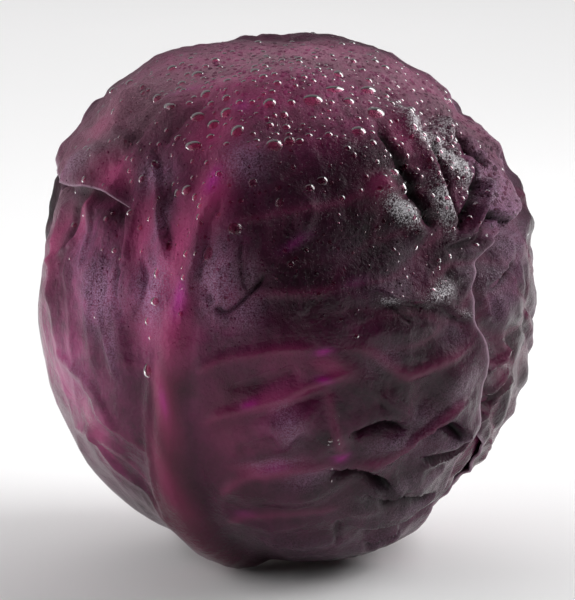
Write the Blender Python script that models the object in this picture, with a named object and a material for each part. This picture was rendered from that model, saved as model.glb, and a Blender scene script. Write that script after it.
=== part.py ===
"""A red cabbage head as it is cut from the field: a tight ball of inner leaves, wrapped in eight
loose outer leaves that overlap like tiles, on the short stump of the cut stem that it stands on.

Each wrapper leaf is a thin closed shell of its own, thick along its midrib, and could be peeled off.
A point on the head is found from its direction as seen from the head's centre. The wrapper leaves are
stacked outwards along that direction, so that no two of them share any space.
"""

from math import radians

import bmesh
import bpy
import numpy as np
from mathutils import Matrix

# Driving dimensions, in metres.
HALF_WIDTH = 0.0785
HALF_DEPTH = 0.0770
HALF_HEIGHT = 0.0845
CENTRE_HEIGHT = 0.0829
STUMP_RADIUS = 0.0140
STUMP_BEVEL = 0.0010
BLADE_THICKNESS = 0.0013
LEAF_GAP = 0.0016  # between one leaf and the next
FIT_GAP = 0.0008  # between the stump and what grows from it

# The head's outer form: an upright ellipsoid, a little flat on top and drawn in round the stump.
RADII = np.array([HALF_WIDTH, HALF_DEPTH, HALF_HEIGHT])

# Where the outer form swells or sinks: azimuth and elevation in degrees, the swelling's radius in
# degrees, and its height in metres. Azimuth 0 faces -Y and grows towards +X.
SWELLINGS = (
    (0, -90, 28, -0.0170),
    (0, -90, 14, -0.0110),
    (-42, -50, 20, -0.0020),
    (-30, -68, 14, 0.0020),
    (28, -64, 24, 0.0030),
    (125, -60, 26, 0.0010),
    (-130, -60, 26, 0.0020),
    (50, -42, 20, -0.0034),
    (0, 90, 50, -0.0050),
    (-30, 84, 20, -0.0022),
    (-78, 48, 24, 0.0044),
    (-80, 5, 22, -0.0010),
    (74, 66, 20, -0.0012),
    (84, 28, 24, 0.0028),
    (84, 0, 26, -0.0030),
)

# The wrapper leaves from the innermost, 8, to the outermost, 1. Each grows 137.5 degrees round the
# stem from the one outside it, the angle at which a cabbage sets its leaves. The numbers are the turns
# by that angle, then in degrees the lean of the leaf to its right, its reach up over the crown, and
# how far its left and right margins lie from its middle.
GROWTH_ANGLE = 137.5
OUTERMOST_AZIMUTH = -25.0
LEAVES = (
    ("wrapper_leaf_8", 7, -3, 86, 66, 68),
    ("wrapper_leaf_7", 6, 4, 84, 68, 66),
    ("wrapper_leaf_6", 5, -4, 92, 66, 70),
    ("wrapper_leaf_5", 4, 3, 88, 70, 66),
    ("wrapper_leaf_4", 3, -2, 94, 68, 72),
    ("wrapper_leaf_3", 2, 4, 90, 74, 72),
    ("wrapper_leaf_2", 1, -5, 92, 68, 74),
    ("wrapper_leaf_1", 0, 8, 104, 68, 74),
)
LEAF_MIDDLE_ELEVATION = 8.0  # in degrees, as seen from the head's centre
LEAF_REACH_DOWN = 88.0
UPPER_ROUNDNESS = 2.3  # exponents of the outline's superellipse above and below its middle
LOWER_ROUNDNESS = 1.75

# The midrib stands out of the blade's outer face.
RIB_HEIGHT_AT_STEM = 0.0026
RIB_WIDTH_AT_STEM = 12.0  # half width, in degrees of the head
RIB_WIDTH_AT_TIP = 9.0

# Past its margin a leaf still lifts what lies over it, fading out over these degrees.
DRAPE_START = 5.0
DRAPE_END = 33.0
WIDE_DRAPE = 34.0

LEAF_CELLS = 16
CROWDING = 1.25  # above 1, a leaf's cells are narrower near its midrib
BALL_SUBDIVISIONS = 4
STUMP_SEGMENTS = 32


def smooth(start, end, value):
    """0 before start, 1 after end, and an eased ramp between them."""
    ramp = np.clip((value - start) / (end - start), 0, 1)
    return ramp * ramp * (3 - 2 * ramp)


def unit(azimuth, elevation):
    """The direction at an azimuth and elevation in degrees."""
    a, e = np.radians(azimuth), np.radians(elevation)
    return np.array([np.sin(a) * np.cos(e), -np.cos(a) * np.cos(e), np.sin(e)])


def outer_form(directions):
    """Distance from the head's centre to its outer form in each direction."""
    radius = 1 / np.sqrt(((directions / RADII) ** 2).sum(axis=1))
    for azimuth, elevation, spread, height in SWELLINGS:
        angle = np.degrees(np.arccos(np.clip(directions @ unit(azimuth, elevation), -1, 1)))
        radius = radius + height * np.exp(-((angle / spread) ** 2))
    return radius


class WrapperLeaf:
    """One wrapper leaf, laid out flat round its middle: bearing 0 points up its midrib to the tip."""

    def __init__(self, name, turns, lean, reach_up, reach_left, reach_right):
        azimuth = OUTERMOST_AZIMUTH + turns * GROWTH_ANGLE
        self.name = name
        self.reach_up = reach_up
        self.reach_left = reach_left
        self.reach_right = reach_right
        self.middle = unit(azimuth, LEAF_MIDDLE_ELEVATION)
        level = unit(azimuth + 90, 0)
        rising = np.cross(self.middle, level)
        tilt = radians(lean)
        self.along = np.cos(tilt) * rising + np.sin(tilt) * level
        self.across = np.cos(tilt) * level - np.sin(tilt) * rising

    def outline(self, bearing):
        """Degrees from the leaf's middle to its margin at each bearing: a superellipse in four parts."""
        up, side = np.cos(bearing), np.sin(bearing)
        length = np.where(up > 0, self.reach_up, LEAF_REACH_DOWN)
        width = np.where(side > 0, self.reach_right, self.reach_left)
        power = np.where(up > 0, UPPER_ROUNDNESS, LOWER_ROUNDNESS)
        return ((np.abs(up) / length) ** power + (np.abs(side) / width) ** power) ** (-1 / power)

    def directions(self, distance, bearing):
        """The directions at a distance in degrees from the leaf's middle, at each bearing."""
        turn = np.radians(distance)[:, None]
        side = np.sin(bearing)[:, None] * self.across + np.cos(bearing)[:, None] * self.along
        return np.cos(turn) * self.middle + np.sin(turn) * side

    def place(self, directions):
        """Distance in degrees from the leaf's middle, and bearing, of each direction."""
        distance = np.degrees(np.arccos(np.clip(directions @ self.middle, -1, 1)))
        return distance, np.arctan2(directions @ self.across, directions @ self.along)

    def thickness(self, distance, bearing):
        """The blade's thickness with the midrib, which thins from the stem to the tip."""
        length = distance * np.cos(bearing)
        share = smooth(-LEAF_REACH_DOWN, self.reach_up, length)
        width = RIB_WIDTH_AT_STEM * (1 - share) + RIB_WIDTH_AT_TIP * share
        rib = np.exp(-((distance * np.sin(bearing) / width) ** 2))
        return BLADE_THICKNESS + RIB_HEIGHT_AT_STEM * (1 - share) ** 2 * rib

    def cover(self, directions, start, end):
        """1 where the leaf lies, fading to 0 between start and end degrees past its margin."""
        distance, bearing = self.place(directions)
        return 1 - smooth(start, end, distance - self.outline(bearing))

    def layer(self, directions):
        """How far this leaf lifts whatever lies over it."""
        thickness = self.thickness(*self.place(directions)) + LEAF_GAP
        return self.cover(directions, DRAPE_START, DRAPE_END) * thickness


WRAPPERS = [WrapperLeaf(*values) for values in LEAVES]


def ball_radius(directions):
    """The inner ball: the outer form less the room that the wrapper leaves take, evened out."""
    layer = BLADE_THICKNESS + LEAF_GAP
    room = sum(leaf.cover(directions, -WIDE_DRAPE, WIDE_DRAPE) for leaf in WRAPPERS)
    return outer_form(directions) - layer * room


def clear_of_stump(points):
    """Points below the centre that lie inside the stump are pushed straight out of it."""
    reach = np.hypot(points[:, 0], points[:, 1])
    low = points[:, 2] < CENTRE_HEIGHT
    push = np.where(low, np.maximum(STUMP_RADIUS + FIT_GAP, reach) / np.maximum(reach, 1e-9), 1)
    return points * np.stack([push, push, np.ones_like(push)], axis=1)


def coordinates(bm):
    return np.array([vertex.co for vertex in bm.verts])


def finish_object(name, bm, points, material):
    """Gives the vertices their places and makes the object."""
    for vertex, point in zip(bm.verts, points):
        vertex.co = point
    mesh = bpy.data.meshes.new(name)
    bm.to_mesh(mesh)
    bm.free()
    mesh.shade_smooth()
    mesh.set_sharp_from_angle(angle=radians(50))
    mesh.materials.append(material)
    made = bpy.data.objects.new(name, mesh)
    bpy.context.scene.collection.objects.link(made)
    return made


def leaf_slab():
    """A square slab from -1 to 1 across and along, and from 0 to 1 through its thickness."""
    bm = bmesh.new()
    bmesh.ops.create_grid(bm, x_segments=LEAF_CELLS, y_segments=LEAF_CELLS, size=1)
    sheet = list(bm.faces)
    copy = bmesh.ops.duplicate(bm, geom=sheet)
    top = [part for part in copy["geom"] if isinstance(part, bmesh.types.BMFace)]
    bmesh.ops.reverse_faces(bm, faces=sheet)
    bmesh.ops.translate(bm, verts=list({v for face in top for v in face.verts}), vec=(0, 0, 1))
    rims = [edge for edge in bm.edges if edge.is_boundary]
    bmesh.ops.bridge_loops(bm, edges=rims)
    bmesh.ops.recalc_face_normals(bm, faces=bm.faces)
    return bm


def wrapper_leaf(index, material):
    """Bends the slab into a leaf: its square becomes the outline, and it lies on the leaves under it."""
    leaf = WRAPPERS[index]
    bm = leaf_slab()
    across, along, through = coordinates(bm).T
    across = np.sign(across) * np.abs(across) ** CROWDING
    disc_x = across * np.sqrt(1 - along**2 / 2)
    disc_y = along * np.sqrt(1 - across**2 / 2)
    bearing = np.arctan2(disc_x, disc_y)
    distance = np.hypot(disc_x, disc_y) * leaf.outline(bearing)
    directions = leaf.directions(distance, bearing)
    lift = LEAF_GAP + sum(under.layer(directions) for under in WRAPPERS[:index])
    radius = ball_radius(directions) + lift + through * leaf.thickness(distance, bearing)
    points = directions * radius[:, None] + (0, 0, CENTRE_HEIGHT)
    return finish_object(leaf.name, bm, clear_of_stump(points), material)


def inner_ball(material, stump_height):
    """The tight ball of inner leaves, flat where it sits on the stump."""
    bm = bmesh.new()
    bmesh.ops.create_icosphere(bm, subdivisions=BALL_SUBDIVISIONS, radius=1)
    directions = coordinates(bm)
    directions /= np.linalg.norm(directions, axis=1)[:, None]
    points = directions * ball_radius(directions)[:, None] + (0, 0, CENTRE_HEIGHT)
    points[:, 2] = np.maximum(points[:, 2], stump_height + FIT_GAP)
    return finish_object("inner_head", bm, points, material)


def cut_stem(material, height):
    """The stump: a short round column, cut flat below, with its lower edge rubbed round."""
    bm = bmesh.new()
    bmesh.ops.create_cone(
        bm,
        cap_ends=True,
        segments=STUMP_SEGMENTS,
        radius1=STUMP_RADIUS,
        radius2=STUMP_RADIUS,
        depth=height,
    )
    bmesh.ops.translate(bm, verts=bm.verts, vec=(0, 0, height / 2))
    foot = [edge for edge in bm.edges if all(vertex.co.z < height / 2 for vertex in edge.verts)]
    bmesh.ops.bevel(bm, geom=foot, offset=STUMP_BEVEL, segments=2, profile=0.5, affect="EDGES")
    return finish_object("cut_stem", bm, coordinates(bm), material)


def skin(name, colour, roughness):
    material = bpy.data.materials.new(name)
    material.use_nodes = True
    shader = material.node_tree.nodes["Principled BSDF"]
    shader.inputs["Base Color"].default_value = (*colour, 1)
    shader.inputs["Roughness"].default_value = roughness
    return material


def centre_on_foot(objects):
    """Moves every mesh so that the bounding box's bottom centre is the origin."""
    corners = np.array([corner for made in objects for corner in made.bound_box])
    low, high = corners.min(axis=0), corners.max(axis=0)
    middle = ((low[0] + high[0]) / 2, (low[1] + high[1]) / 2, low[2])
    for made in objects:
        made.data.transform(Matrix.Translation(middle).inverted())


def main():
    for old in list(bpy.data.objects):
        bpy.data.objects.remove(old)
    underside = ball_radius(unit(0, -90)[None])[0]
    stump_height = CENTRE_HEIGHT - underside
    wrapper = skin("wrapper_leaf", (0.09, 0.025, 0.06), 0.35)
    objects = [wrapper_leaf(index, wrapper) for index in range(len(WRAPPERS))]
    objects.append(inner_ball(skin("inner_leaf", (0.16, 0.04, 0.10), 0.4), stump_height))
    objects.append(cut_stem(skin("cut_stem", (0.62, 0.55, 0.46), 0.7), stump_height))
    centre_on_foot(objects)


main()
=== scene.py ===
"""The looks of a red cabbage head: wrapper leaves with ribs, veins, puckers and a waxy coat, wet with drops,
with painted shade and highlights on them.

A place on the head is a ray from its centre, a unit vector, written as azimuth and elevation in
degrees: azimuth 0 faces -Y and grows towards +X, elevation 90 is the crown. Lengths are in
millimetres until a mesh is made.
"""

from functools import partial

import bmesh
import bpy
import numpy as np
from mathutils import Matrix, Vector
from mathutils.bvhtree import BVHTree


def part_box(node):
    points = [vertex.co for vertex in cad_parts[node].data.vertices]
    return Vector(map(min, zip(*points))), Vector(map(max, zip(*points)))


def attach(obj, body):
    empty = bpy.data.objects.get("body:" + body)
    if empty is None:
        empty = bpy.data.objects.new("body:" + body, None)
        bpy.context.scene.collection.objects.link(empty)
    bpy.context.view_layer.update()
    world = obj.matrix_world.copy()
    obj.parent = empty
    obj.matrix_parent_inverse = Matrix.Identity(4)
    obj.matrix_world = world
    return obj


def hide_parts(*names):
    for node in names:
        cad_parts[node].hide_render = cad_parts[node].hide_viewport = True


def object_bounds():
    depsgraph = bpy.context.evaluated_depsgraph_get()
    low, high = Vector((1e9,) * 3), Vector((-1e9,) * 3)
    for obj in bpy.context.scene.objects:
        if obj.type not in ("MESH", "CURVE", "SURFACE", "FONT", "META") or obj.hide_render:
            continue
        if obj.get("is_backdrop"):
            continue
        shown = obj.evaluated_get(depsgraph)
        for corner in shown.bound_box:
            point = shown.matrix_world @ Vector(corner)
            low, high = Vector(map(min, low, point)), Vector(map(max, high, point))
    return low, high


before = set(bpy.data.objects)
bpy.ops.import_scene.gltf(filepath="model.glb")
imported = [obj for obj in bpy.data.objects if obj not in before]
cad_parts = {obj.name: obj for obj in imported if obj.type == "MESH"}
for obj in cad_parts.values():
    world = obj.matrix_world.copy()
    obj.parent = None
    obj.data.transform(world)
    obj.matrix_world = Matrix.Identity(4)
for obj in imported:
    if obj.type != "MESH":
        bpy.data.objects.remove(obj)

MM = 0.001
CAD_LOW, CAD_HIGH = (np.array(corner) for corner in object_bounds())
HALF = (CAD_HIGH - CAD_LOW) / 2 / MM
CENTRE = np.array([0, 0, HALF[2] * 0.99])
MIDDLE = Vector(CENTRE * MM)
RADII = HALF + (1.0, -0.5, 3.5)  # the round form under the swellings and hollows
RADIUS = 82  # the head's usual radius
DEGREE = 1.43  # millimetres on the leaves for a degree at the head's centre


# ---- rays and smooth fields


def smooth(start, end, value):
    """0 before start, 1 after end, and an eased ramp between them."""
    ramp = np.clip((value - start) / (end - start), 0, 1)
    return ramp * ramp * (3 - 2 * ramp)


def unit(azimuth, elevation):
    a, e = np.radians(azimuth), np.radians(elevation)
    return np.stack([np.sin(a) * np.cos(e), -np.cos(a) * np.cos(e), np.sin(e)], axis=-1)


def azimuth_elevation(rays):
    azimuth = np.degrees(np.arctan2(rays[:, 0], -rays[:, 1]))
    return azimuth, np.degrees(np.arcsin(np.clip(rays[:, 2], -1, 1)))


def apart(rays, middle):
    """Degrees from each ray to one other."""
    return np.degrees(np.arccos(np.clip(rays @ middle, -1, 1)))


def waves(rays, length, seed):
    """A smooth random field of about -1 to 1, with swells this many millimetres long."""
    count = 14
    rng = np.random.default_rng(seed)
    headings = rng.normal(size=(count, 3))
    headings /= np.linalg.norm(headings, axis=1)[:, None]
    turns = 2 * np.pi * RADIUS / length * rng.uniform(0.7, 1.3, count)
    shifts = rng.uniform(0, 2 * np.pi, count)
    return np.sin(rays @ (headings * turns[:, None]).T + shifts).sum(axis=1) / count**0.5


def cells(u, v, seed):
    """How much further than the nearest the second nearest of scattered points is, with one a unit square."""
    nearest = np.full(u.shape, 9.0)
    second = np.full(u.shape, 9.0)
    for du in (-1, 0, 1):
        for dv in (-1, 0, 1):
            i, j = np.floor(u) + du, np.floor(v) + dv
            x = i + np.modf(np.abs(np.sin(i * 127.1 + j * 311.7 + seed) * 43758.5))[0]
            y = j + np.modf(np.abs(np.sin(i * 269.5 + j * 183.3 + seed) * 24634.6))[0]
            distance = np.hypot(u - x, v - y)
            second = np.minimum(second, np.maximum(distance, nearest))
            nearest = np.minimum(nearest, distance)
    return second - nearest


def rounded(points, steps=5):
    """A smooth curve through places on the head, as rays (Catmull-Rom)."""
    knots = unit(*np.array(points, float).T)
    knots = np.vstack([2 * knots[0] - knots[1], knots, 2 * knots[-1] - knots[-2]])
    t = np.linspace(0, 1, steps, endpoint=False)[:, None]
    curve = []
    for a, b, c, d in zip(knots, knots[1:], knots[2:], knots[3:]):
        bend = (2 * a - 5 * b + 4 * c - d) * t**2 + (3 * b - a - 3 * c + d) * t**3
        curve.append(b + 0.5 * ((c - a) * t + bend))
    curve = np.vstack([*curve, knots[-2]])
    return curve / np.linalg.norm(curve, axis=1)[:, None]


def from_curve(rays, curve):
    """Signed millimetres from each ray to a curve (+ on its right), and how far along it, 0 to 1."""
    best = np.full(len(rays), 1e9)
    side = np.zeros(len(rays))
    along = np.zeros(len(rays))
    for k, (a, b) in enumerate(zip(curve, curve[1:])):
        run = b - a
        t = np.clip((rays - a) @ run / (run @ run), 0, 1)
        distance = np.linalg.norm(rays - (a + t[:, None] * run), axis=1)
        nearer = distance < best
        best = np.where(nearer, distance, best)
        side = np.where(nearer, np.where(rays @ np.cross(b, a) < 0, -1, 1), side)
        along = np.where(nearer, (k + t) / (len(curve) - 1), along)
    return np.degrees(best) * DEGREE * side, along


def ridge(distance, height, left, right):
    """A ridge, or with a negative height a groove, with its own width on each side."""
    return height * np.exp(-((distance / np.where(distance < 0, left, right)) ** 2))


def ledge(distance, rise, high, drop, low):
    """A fold's edge: the blade swells up to it on the left and starts again lower on the right."""
    over = smooth(-0.6, 1.1, distance)
    up = rise * np.exp(-((np.minimum(distance, 0) / high) ** 2))
    return up * (1 - over) - drop * np.exp(-((np.maximum(distance, 0) / low) ** 2)) * over


def line(rays, profile, *sizes, ends):
    """Lays a profile along a curve through places on the head, faded over this share of each end."""
    *sizes, points = sizes
    curve = rounded(points)
    middle = curve[len(curve) // 2]
    near = apart(rays, middle) < apart(curve, middle).max() + 3 * max(sizes) / DEGREE
    distance, along = from_curve(rays[near], curve)
    result = np.zeros(len(rays))
    result[near] = profile(distance, *sizes) * smooth(0, ends, along) * smooth(1, 1 - ends, along)
    return result


def swell(rays, azimuth, elevation, wide, tall, strength, lean=0):
    """A soft patch, highest in its middle: half-width and half-height in degrees, its top leaned right."""
    middle = unit(azimuth, elevation)
    across = unit(azimuth + 90, 0)
    x = np.degrees(rays @ across)
    y = np.degrees(rays @ np.cross(middle, across))
    turn = np.radians(lean)
    beside = x * np.cos(turn) - y * np.sin(turn)
    along = x * np.sin(turn) + y * np.cos(turn)
    bell = np.exp(-((beside / wide) ** 2) - (along / tall) ** 2)
    return strength * np.where(rays @ middle > 0, bell, 0)


# ---- the head's form and its leaves

# Swellings and hollows of the whole head: azimuth, elevation, spread in degrees, height in millimetres.
SWELLINGS = (
    (0, -90, 26, -13), (0, -90, 14, -11), (-42, -50, 20, -2), (-30, -68, 16, 3), (28, -66, 20, 6),
    (125, -60, 26, 1), (-130, -60, 26, 2), (50, -42, 20, -4.6), (-30, 84, 20, -4.6), (-78, 48, 24, 3.4),
    (-80, 5, 22, -1), (-90, 10, 12, -1.6), (74, 66, 20, -1.2), (84, 28, 24, 2.8), (86, 42, 14, -2),
    (84, 0, 26, -3), (88, 56, 12, -1.8), (175, 82, 9, -2), (-90, 66, 9, 1.6), (-92, 16, 9, -1.2),
    (84, -47, 11, -2.4), (60, -68, 8, 1.6),
)  # fmt: skip
LAYER = 2.2  # from one leaf's outer face to the next one's
FOLD_ROOM = 5.0  # more room under the front leaf, whose folds are deep


def outer_form(rays):
    """Millimetres from the head's centre to the outside of its outermost leaves."""
    radius = 1 / np.sqrt(((rays / RADII) ** 2).sum(axis=1))
    for azimuth, elevation, spread, height in SWELLINGS:
        radius = radius + height * np.exp(-((apart(rays, unit(azimuth, elevation)) / spread) ** 2))
    return radius


class Leaf:
    """One wrapper leaf. Its margin is a closed curve of places; its rib runs up from the stem."""

    def __init__(self, number, azimuth, margin):
        self.number = number
        self.seed = 11 * number
        self.middle = unit(azimuth, 6)
        self.across = unit(azimuth + 90, 0)
        self.along = np.cross(self.middle, self.across)
        distance, bearing = self.place(unit(*np.array(margin, float).T))
        order = np.argsort(bearing)
        self.bearings = np.concatenate([bearing[order] + turn for turn in (-2 * np.pi, 0, 2 * np.pi)])
        self.reaches = np.tile(distance[order], 3)

    def place(self, rays):
        """Degrees from the leaf's middle, and bearing, 0 towards the tip and growing to the right."""
        return apart(rays, self.middle), np.arctan2(rays @ self.across, rays @ self.along)

    def outline(self, bearing):
        """Degrees from the middle to the margin, rounded between its points."""
        reach = 0
        for shift, weight in ((-0.05, 1), (-0.025, 2), (0, 3), (0.025, 2), (0.05, 1)):
            reach = reach + weight / 9 * np.interp(bearing + shift, self.bearings, self.reaches)
        return reach

    def rays(self, distance, bearing):
        turn = np.radians(distance)[:, None]
        side = np.sin(bearing)[:, None] * self.across + np.cos(bearing)[:, None] * self.along
        return np.cos(turn) * self.middle + np.sin(turn) * side

    def inside(self, rays):
        """Millimetres from the margin, positive inside it."""
        distance, bearing = self.place(rays)
        return (self.outline(bearing) - distance) * DEGREE

    def lengths(self, rays):
        """Degrees across from the rib and up along it."""
        distance, bearing = self.place(rays)
        return distance * np.sin(bearing), distance * np.cos(bearing)

    def field(self, rays, length, shift):
        """One of the leaf's own smooth random fields."""
        return waves(rays, length, self.seed + shift)


def plain_margin(azimuth, up, left, right, lean):
    """The margin of a leaf whose outline is all hidden or free: a rounded blade, narrow at the stem."""
    middle = Leaf(0, azimuth, ((0, 0), (90, 0), (180, 0)))
    bearing = np.radians(np.arange(-180, 180, 12))
    upper = np.cos(bearing) > 0
    width = np.where(np.sin(bearing + np.radians(lean)) > 0, right, left)
    power = np.where(upper, 2.3, 1.75)
    reach = (np.abs(np.cos(bearing)) / np.where(upper, up, 86)) ** power
    reach += (np.abs(np.sin(bearing)) / width) ** power
    return np.stack(azimuth_elevation(middle.rays(reach ** (-1 / power), bearing)), axis=1)


FRONT_MARGIN = (
    (150, 64), (112, 60), (92, 50), (82, 40), (75, 30), (69, 21), (60, 20), (52, 18), (47, 15), (46, 10),
    (47, 6), (44, 2.5), (47.5, -0.5), (49.5, -5), (51, -12), (51.5, -20), (52, -28), (56, -38), (62, -50),
    (66, -62), (60, -75), (20, -80), (-25, -81), (-75, -80), (-100, -74), (-102, -62), (-98, -48),
    (-95, -30), (-92, -10), (-86, 1), (-80, 10), (-78, 20), (-81, 28), (-92, 36), (-106, 50), (-130, 61),
    (-170, 65),
)  # fmt: skip
RIGHT_MARGIN = (
    (-30, 62), (5, 50), (22, 30), (30, 10), (38, -8), (48, -22), (58, -28), (68, -33), (80, -44), (92, -60),
    (110, -78), (150, -80), (174, -66), (181, -52), (193, -34), (198, -14), (191, 4), (196, 20), (186, 36),
    (192, 50), (204, 62), (-110, 80),
)  # fmt: skip
FRONT = Leaf(1, -22, FRONT_MARGIN)
RIGHT = Leaf(2, 112, RIGHT_MARGIN)
# The leaves under those: number, azimuth, degrees up to the tip and to the left and right side, and lean.
LEAVES = [FRONT, RIGHT] + [
    Leaf(number, azimuth, plain_margin(azimuth, *blade))
    for number, azimuth, *blade in (
        (3, -110, 90, 72, 72, 4), (4, 27, 92, 70, 70, -2), (5, 165, 88, 70, 68, 3),
        (6, -57, 92, 68, 70, -4), (7, 80, 84, 68, 68, 4), (8, -142, 86, 68, 68, -3),
    )
]  # fmt: skip


def buried(leaf, rays, fade):
    """How many leaves lie over this one, each counted down to nothing this far outside its margin."""
    over = [other for other in LEAVES if other.number < leaf.number]
    return sum((smooth(-fade, 0, other.inside(rays)) for other in over), np.zeros(len(rays)))


# ---- the front leaf, ridge by ridge

# The rib from the stem up, and its half-widths and heights spaced evenly along it.
RIB = (
    (-38, -78), (-36, -66), (-34, -48), (-30, -30), (-27, -15), (-25, 0), (-22, 11), (-20, 24),
    (-18, 40), (-16, 56), (-14, 72),
)  # fmt: skip
RIB_HALF_WIDTHS = (12, 11, 8.5, 6.0, 4.8, 4.2, 3.6, 3.0, 2.6, 2.2, 1.6)
RIB_HEIGHTS = (5.0, 5.0, 4.4, 3.4, 2.8, 2.2, 1.1, 0.7, 0.5, 0.4, 0.3)

# Veins and folds: height, width to the left, width to the right, then places. Left and right are as
# seen by someone who walks along the line over the leaf.
VEINS = (
    (1.3, 1.3, 1.7, ((-21, -8), (-17, -5), (-13, -3.3), (-9, -2.4), (0, -1), (8, -1))),
    (1.7, 1.4, 2, ((-22, -21), (-16, -16.5), (-11, -15), (-6, -13.2), (0, -11.4), (8.5, -8), (16, -6))),
    (1.4, 1.3, 1.9, ((-20, -40), (-15, -34), (-9, -30.5), (-1, -29.3), (8, -28.4), (15, -27.6))),
    (1.5, 1.3, 1.6, ((12, -27.8), (19, -28.4), (26, -27.3), (31, -23.5), (36, -20), (41, -16.5),
        (48, -13.5))),
    (1.1, 2.4, 1.5, ((8, -0.2), (17, -1.9), (22.5, -5.6), (26.8, -8.5), (30, -8.3), (35, -6.8), (41, -4.8),
        (48, -1))),
    (0.8, 1.4, 1.6, ((-22, -50), (-14, -44), (-4, -42), (8, -41), (17, -40))),
    (0.8, 1.5, 1.5, ((8.5, -8), (9.5, -14), (11, -20), (14, -27.5))),
    (0.6, 1.4, 1.6, ((-19, 7), (-12, 10), (-4, 11), (6, 11), (14, 13))),
    (0.6, 1.4, 1.6, ((-19, 22), (-12, 26), (-4, 28), (6, 29), (16, 31), (24, 33))),
    (0.6, 1.4, 1.6, ((-17, 38), (-10, 42), (0, 44), (10, 44), (20, 44), (30, 47))),
    (0.5, 1.2, 1.4, ((-27, -11), (-34, -7), (-41, -6), (-43, 1), (-44, 8))),
    (0.5, 1.2, 1.4, ((-31, -30), (-40, -25), (-49, -20), (-51, -16), (-58, -11))),
    (0.5, 1.2, 1.4, ((-34, -42), (-42, -35), (-48, -30), (-54, -28), (-65, -26))),
    (0.5, 1.4, 1.4, ((-24, 11), (-27, 18), (-31, 24), (-33, 30))),
    (0.5, 1.4, 1.4, ((-43, 10), (-42, 19), (-42, 27))),
)  # fmt: skip
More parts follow.
